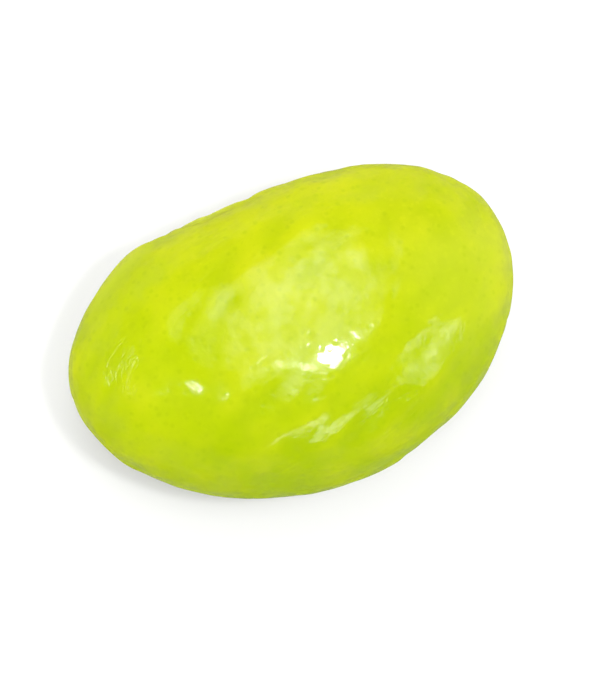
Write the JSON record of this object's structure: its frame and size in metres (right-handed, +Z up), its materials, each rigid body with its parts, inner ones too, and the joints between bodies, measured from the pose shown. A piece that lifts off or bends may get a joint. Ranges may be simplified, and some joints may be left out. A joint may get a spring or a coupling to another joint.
{
  "type": "shelled edamame bean",
  "caption": "Kidney-oval green soybean out of its pod with its skin on, slightly hollow at the belly around an oval hilum scar; lies on its broad side.",
  "frame": {"origin": "middle of the bean's footprint box, on the surface that it lies on", "axes": "+X along the bean towards the narrower end that holds the young root, -Y towards the belly and its hilum, +Z up through the thickness"},
  "size_m": [0.014, 0.0092, 0.0071],
  "materials": {
    "seed_coat": "glossy, slightly waxy yellow-green skin"
  },
  "bodies": {
    "root": {"edamame_bean": "seed_coat"}
  },
  "joints": []
}
